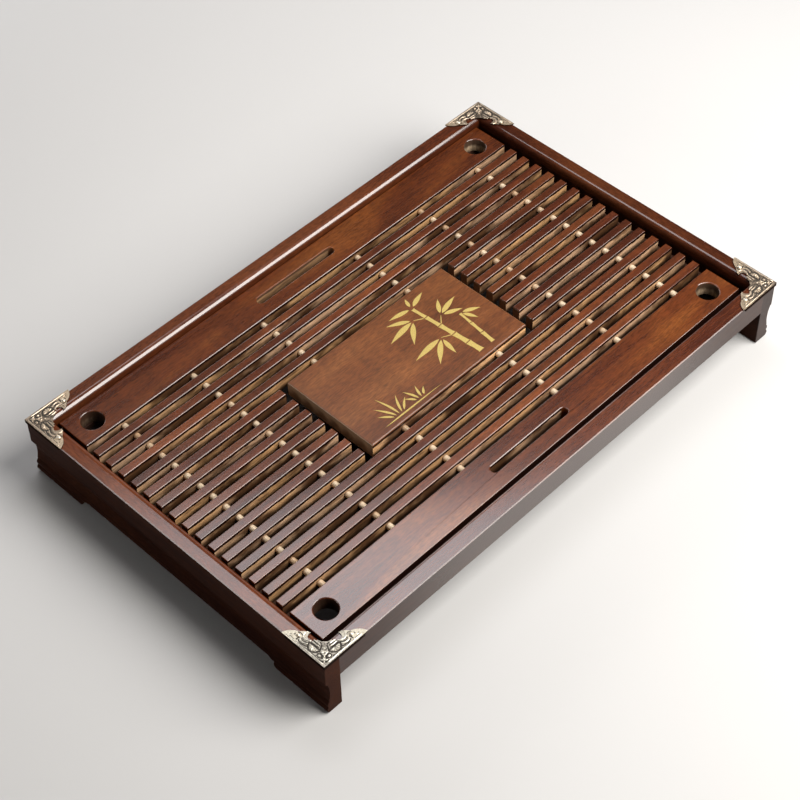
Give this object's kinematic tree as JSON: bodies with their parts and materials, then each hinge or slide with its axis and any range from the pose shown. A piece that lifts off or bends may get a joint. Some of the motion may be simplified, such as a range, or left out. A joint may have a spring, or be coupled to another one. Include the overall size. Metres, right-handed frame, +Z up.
{
  "type": "gongfu tea table",
  "caption": "Low slatted tea table: moulded wooden frame on bracket feet with metal corners, lift-off grille with a plain plaque, and a water tray that slides out to the front.",
  "frame": {"origin": "on the floor under the centre of the frame, at the bottom of the foot pads", "axes": "+X along the long side to the right, -Y to the front, where the water tray pulls out, +Z up"},
  "size_m": [0.4314, 0.2764, 0.0528],
  "materials": {
    "frame_wood": "dark red-brown stained hardwood under a satin lacquer",
    "board_wood": "dark red-brown stained hardwood, satin lacquer, fine straight grain",
    "slat_wood": "dark red-brown stained bamboo, satin lacquer, paler worn arrises",
    "plaque_wood": "dark stained bamboo block, satin lacquer",
    "inner_wood": "dark stained hardwood, matt",
    "dowel_wood": "pale unstained bamboo",
    "bracket_brass": "antique silvered brass, stamped relief with darkened hollows",
    "tack_brass": "antique brass, polished heads",
    "tray_plastic": "black-brown moulded plastic, fine satin",
    "pad_rubber": "black rubber"
  },
  "bodies": {
    "frame": {"end_board_left": "frame_wood", "end_board_right": "frame_wood", "rail_front": "frame_wood", "rail_back": "frame_wood", "side_ledge_front": "inner_wood", "side_ledge_back": "inner_wood", "end_ledge_left": "inner_wood", "end_ledge_right": "inner_wood", "tray_runner_left": "inner_wood", "tray_runner_right": "inner_wood", "tray_stop": "inner_wood", "foot_pads": "pad_rubber", "bracket_front_left": "bracket_brass", "bracket_front_right": "bracket_brass", "bracket_back_left": "bracket_brass", "bracket_back_right": "bracket_brass", "bracket_tacks": "tack_brass"},
    "grille": {"board_front": "board_wood", "board_back": "board_wood", "slat_front_1": "slat_wood", "slat_front_2": "slat_wood", "slat_front_3": "slat_wood", "slat_front_4": "slat_wood", "slat_back_1": "slat_wood", "slat_back_2": "slat_wood", "slat_back_3": "slat_wood", "slat_back_4": "slat_wood", "slat_left_1": "slat_wood", "slat_left_2": "slat_wood", "slat_left_3": "slat_wood", "slat_left_4": "slat_wood", "slat_left_5": "slat_wood", "slat_left_6": "slat_wood", "slat_left_7": "slat_wood", "slat_right_1": "slat_wood", "slat_right_2": "slat_wood", "slat_right_3": "slat_wood", "slat_right_4": "slat_wood", "slat_right_5": "slat_wood", "slat_right_6": "slat_wood", "slat_right_7": "slat_wood", "plaque": "plaque_wood", "cross_dowel_1": "dowel_wood", "cross_dowel_2": "dowel_wood", "cross_dowel_3": "dowel_wood", "cross_dowel_4": "dowel_wood", "cross_dowel_5": "dowel_wood", "cross_dowel_6": "dowel_wood"},
    "water_tray": {"water_tray": "tray_plastic"}
  },
  "joints": [
    {"name": "grille_lift", "type": "slide", "parent": "frame", "child": "grille", "axis": [0, 0, 1], "range_m": [0, 0.06]},
    {"name": "tray_slide", "type": "slide", "parent": "frame", "child": "water_tray", "axis": [0, -1, 0], "range_m": [0, 0.265]}
  ]
}
